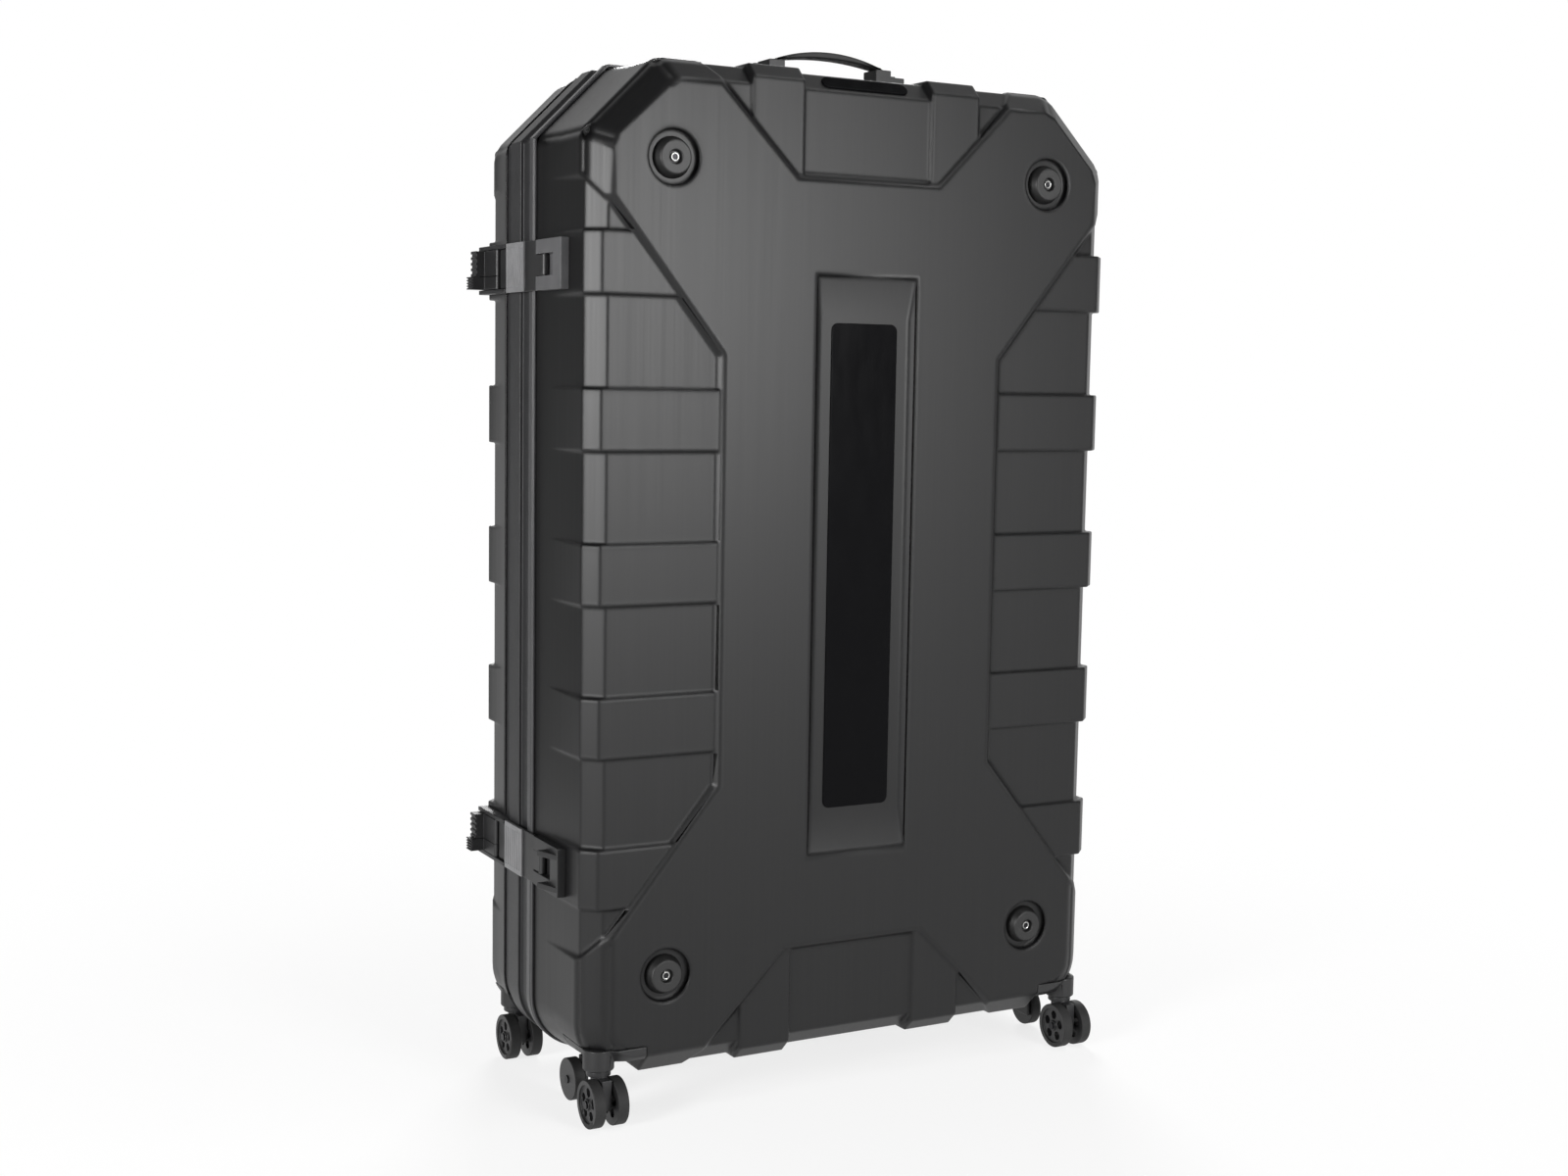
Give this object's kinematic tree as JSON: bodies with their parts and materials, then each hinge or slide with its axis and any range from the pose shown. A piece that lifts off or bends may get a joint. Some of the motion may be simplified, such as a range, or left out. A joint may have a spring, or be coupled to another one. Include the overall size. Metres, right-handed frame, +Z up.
{
  "type": "bike travel case",
  "caption": "Upright hard case for carrying a bicycle: two moulded shells with a crossed raised panel, rubber bumpers, buckle latches, carry handles and twin-wheel casters.",
  "frame": {"origin": "centre of the bounding box's underside, on the floor", "axes": "+Z up, +X to the viewer's right facing the crossed front panel, front toward -Y"},
  "size_m": [0.7998, 0.374, 1.3025],
  "materials": {
    "shell": "satin moulded sheet, fine vertical brushing",
    "rim": "satin moulded, mid grey",
    "frame": "satin moulded",
    "seal": "soft matte",
    "bumper": "matte moulded rubber",
    "steel": "bright, turned",
    "gloss": "polished",
    "hinge": "powder coated",
    "latch": "fine grained",
    "anchor": "fine grained grey",
    "strap": "smooth grey",
    "handle": "smooth",
    "grip": "soft touch",
    "bracket": "satin moulded",
    "fork": "satin grey",
    "wheel": "matte tread, moulded hub",
    "pad": "knitted face on foam",
    "webbing": "woven tape"
  },
  "bodies": {
    "base": {"rear_shell": "shell", "centre_frame": "frame", "rim_seal": "seal", "rear_bumpers": "bumper", "rear_bumper_screws": "steel", "rear_bumper_nuts": "steel", "base_hinge_leaves": "hinge", "hinge_pins": "steel", "latch_housings": "latch", "latch_lever_pins": "steel", "side_handle_bases": "handle", "side_handle_screws": "steel", "rear_caster_brackets": "bracket", "rear_pad": "pad", "tie_straps": "webbing", "tie_buckles": "latch"},
    "lid": {"front_shell": "shell", "front_rim": "rim", "front_bumpers": "bumper", "front_bumper_screws": "steel", "front_bumper_nuts": "steel", "name_plate": "gloss", "top_badge": "gloss", "lid_hinge_leaves": "hinge", "latch_anchors": "anchor", "latch_anchor_pins": "steel", "top_handle_bases": "handle", "top_handle_screws": "steel", "front_caster_brackets": "bracket", "roller_pins": "steel", "front_pad": "pad"},
    "top_grip": {"top_handle_grip": "grip"},
    "side_grip": {"side_handle_grip": "grip"},
    "left_roller": {"left_roller": "wheel"},
    "right_roller": {"right_roller": "wheel"},
    "upper_strap": {"upper_strap_arm": "latch", "upper_strap_band": "strap"},
    "upper_ratchet": {"upper_ratchet_lever": "latch"},
    "upper_release": {"upper_release_lever": "latch"},
    "lower_strap": {"lower_strap_arm": "latch", "lower_strap_band": "strap"},
    "lower_ratchet": {"lower_ratchet_lever": "latch"},
    "lower_release": {"lower_release_lever": "latch"},
    "front_left_caster": {"front_left_fork": "fork", "front_left_pins": "steel"},
    "front_left_outer_wheel": {"front_left_outer_wheel": "wheel"},
    "front_left_inner_wheel": {"front_left_inner_wheel": "wheel"},
    "front_right_caster": {"front_right_fork": "fork", "front_right_pins": "steel"},
    "front_right_outer_wheel": {"front_right_outer_wheel": "wheel"},
    "front_right_inner_wheel": {"front_right_inner_wheel": "wheel"},
    "rear_left_caster": {"rear_left_fork": "fork", "rear_left_pins": "steel"},
    "rear_left_outer_wheel": {"rear_left_outer_wheel": "wheel"},
    "rear_left_inner_wheel": {"rear_left_inner_wheel": "wheel"},
    "rear_right_caster": {"rear_right_fork": "fork", "rear_right_pins": "steel"},
    "rear_right_outer_wheel": {"rear_right_outer_wheel": "wheel"},
    "rear_right_inner_wheel": {"rear_right_inner_wheel": "wheel"}
  },
  "joints": [
    {"name": "lid_hinge", "type": "hinge", "parent": "base", "child": "lid", "pos_m": [0.384, 0.01, 0.662], "axis": [0, 0, 1], "range_deg": [0, 120]},
    {"name": "upper_strap_swing", "type": "hinge", "parent": "lid", "child": "upper_strap", "pos_m": [-0.3766, -0.049, 1.024], "axis": [0, 0, 1], "range_deg": [0, 100]},
    {"name": "upper_ratchet_swing", "type": "hinge", "parent": "base", "child": "upper_ratchet", "pos_m": [-0.3788, 0.103, 1.024], "axis": [0, 0, 1], "range_deg": [0, 60]},
    {"name": "upper_release_press", "type": "hinge", "parent": "base", "child": "upper_release", "pos_m": [-0.3788, 0.103, 1.024], "axis": [0, 0, 1], "range_deg": [0, 25], "stiffness_Nm_per_rad": 0.2},
    {"name": "lower_strap_swing", "type": "hinge", "parent": "lid", "child": "lower_strap", "pos_m": [-0.3766, -0.049, 0.3], "axis": [0, 0, 1], "range_deg": [0, 100]},
    {"name": "lower_ratchet_swing", "type": "hinge", "parent": "base", "child": "lower_ratchet", "pos_m": [-0.3788, 0.103, 0.3], "axis": [0, 0, 1], "range_deg": [0, 60]},
    {"name": "lower_release_press", "type": "hinge", "parent": "base", "child": "lower_release", "pos_m": [-0.3788, 0.103, 0.3], "axis": [0, 0, 1], "range_deg": [0, 25], "stiffness_Nm_per_rad": 0.2},
    {"name": "top_grip_lift", "type": "slide", "parent": "lid", "child": "top_grip", "axis": [0, 0, 1], "range_m": [0, 0.004]},
    {"name": "side_grip_lift", "type": "slide", "parent": "base", "child": "side_grip", "axis": [1, 0, 0], "range_m": [0, 0.004]},
    {"name": "front_left_swivel", "type": "hinge", "parent": "lid", "child": "front_left_caster", "pos_m": [-0.341, -0.143, 0.06], "axis": [0, 0, 1], "continuous": true},
    {"name": "front_left_outer_spin", "type": "hinge", "parent": "front_left_caster", "child": "front_left_outer_wheel", "pos_m": [-0.341, -0.158, 0.029], "axis": [1, 0, 0], "continuous": true},
    {"name": "front_left_inner_spin", "type": "hinge", "parent": "front_left_caster", "child": "front_left_inner_wheel", "pos_m": [-0.341, -0.158, 0.029], "axis": [1, 0, 0], "continuous": true},
    {"name": "front_right_swivel", "type": "hinge", "parent": "lid", "child": "front_right_caster", "pos_m": [0.341, -0.143, 0.06], "axis": [0, 0, 1], "continuous": true},
    {"name": "front_right_outer_spin", "type": "hinge", "parent": "front_right_caster", "child": "front_right_outer_wheel", "pos_m": [0.341, -0.158, 0.029], "axis": [1, 0, 0], "continuous": true},
    {"name": "front_right_inner_spin", "type": "hinge", "parent": "front_right_caster", "child": "front_right_inner_wheel", "pos_m": [0.341, -0.158, 0.029], "axis": [1, 0, 0], "continuous": true},
    {"name": "rear_left_swivel", "type": "hinge", "parent": "base", "child": "rear_left_caster", "pos_m": [-0.341, 0.133, 0.06], "axis": [0, 0, 1], "continuous": true},
    {"name": "rear_left_outer_spin", "type": "hinge", "parent": "rear_left_caster", "child": "rear_left_outer_wheel", "pos_m": [-0.341, 0.118, 0.029], "axis": [1, 0, 0], "continuous": true},
    {"name": "rear_left_inner_spin", "type": "hinge", "parent": "rear_left_caster", "child": "rear_left_inner_wheel", "pos_m": [-0.341, 0.118, 0.029], "axis": [1, 0, 0], "continuous": true},
    {"name": "rear_right_swivel", "type": "hinge", "parent": "base", "child": "rear_right_caster", "pos_m": [0.341, 0.133, 0.06], "axis": [0, 0, 1], "continuous": true},
    {"name": "rear_right_outer_spin", "type": "hinge", "parent": "rear_right_caster", "child": "rear_right_outer_wheel", "pos_m": [0.341, 0.118, 0.029], "axis": [1, 0, 0], "continuous": true},
    {"name": "rear_right_inner_spin", "type": "hinge", "parent": "rear_right_caster", "child": "rear_right_inner_wheel", "pos_m": [0.341, 0.118, 0.029], "axis": [1, 0, 0], "continuous": true},
    {"name": "left_roller_spin", "type": "hinge", "parent": "lid", "child": "left_roller", "pos_m": [-0.342, -0.066, 0.029], "axis": [1, 0, 0], "continuous": true},
    {"name": "right_roller_spin", "type": "hinge", "parent": "lid", "child": "right_roller", "pos_m": [0.342, -0.066, 0.029], "axis": [1, 0, 0], "continuous": true}
  ]
}
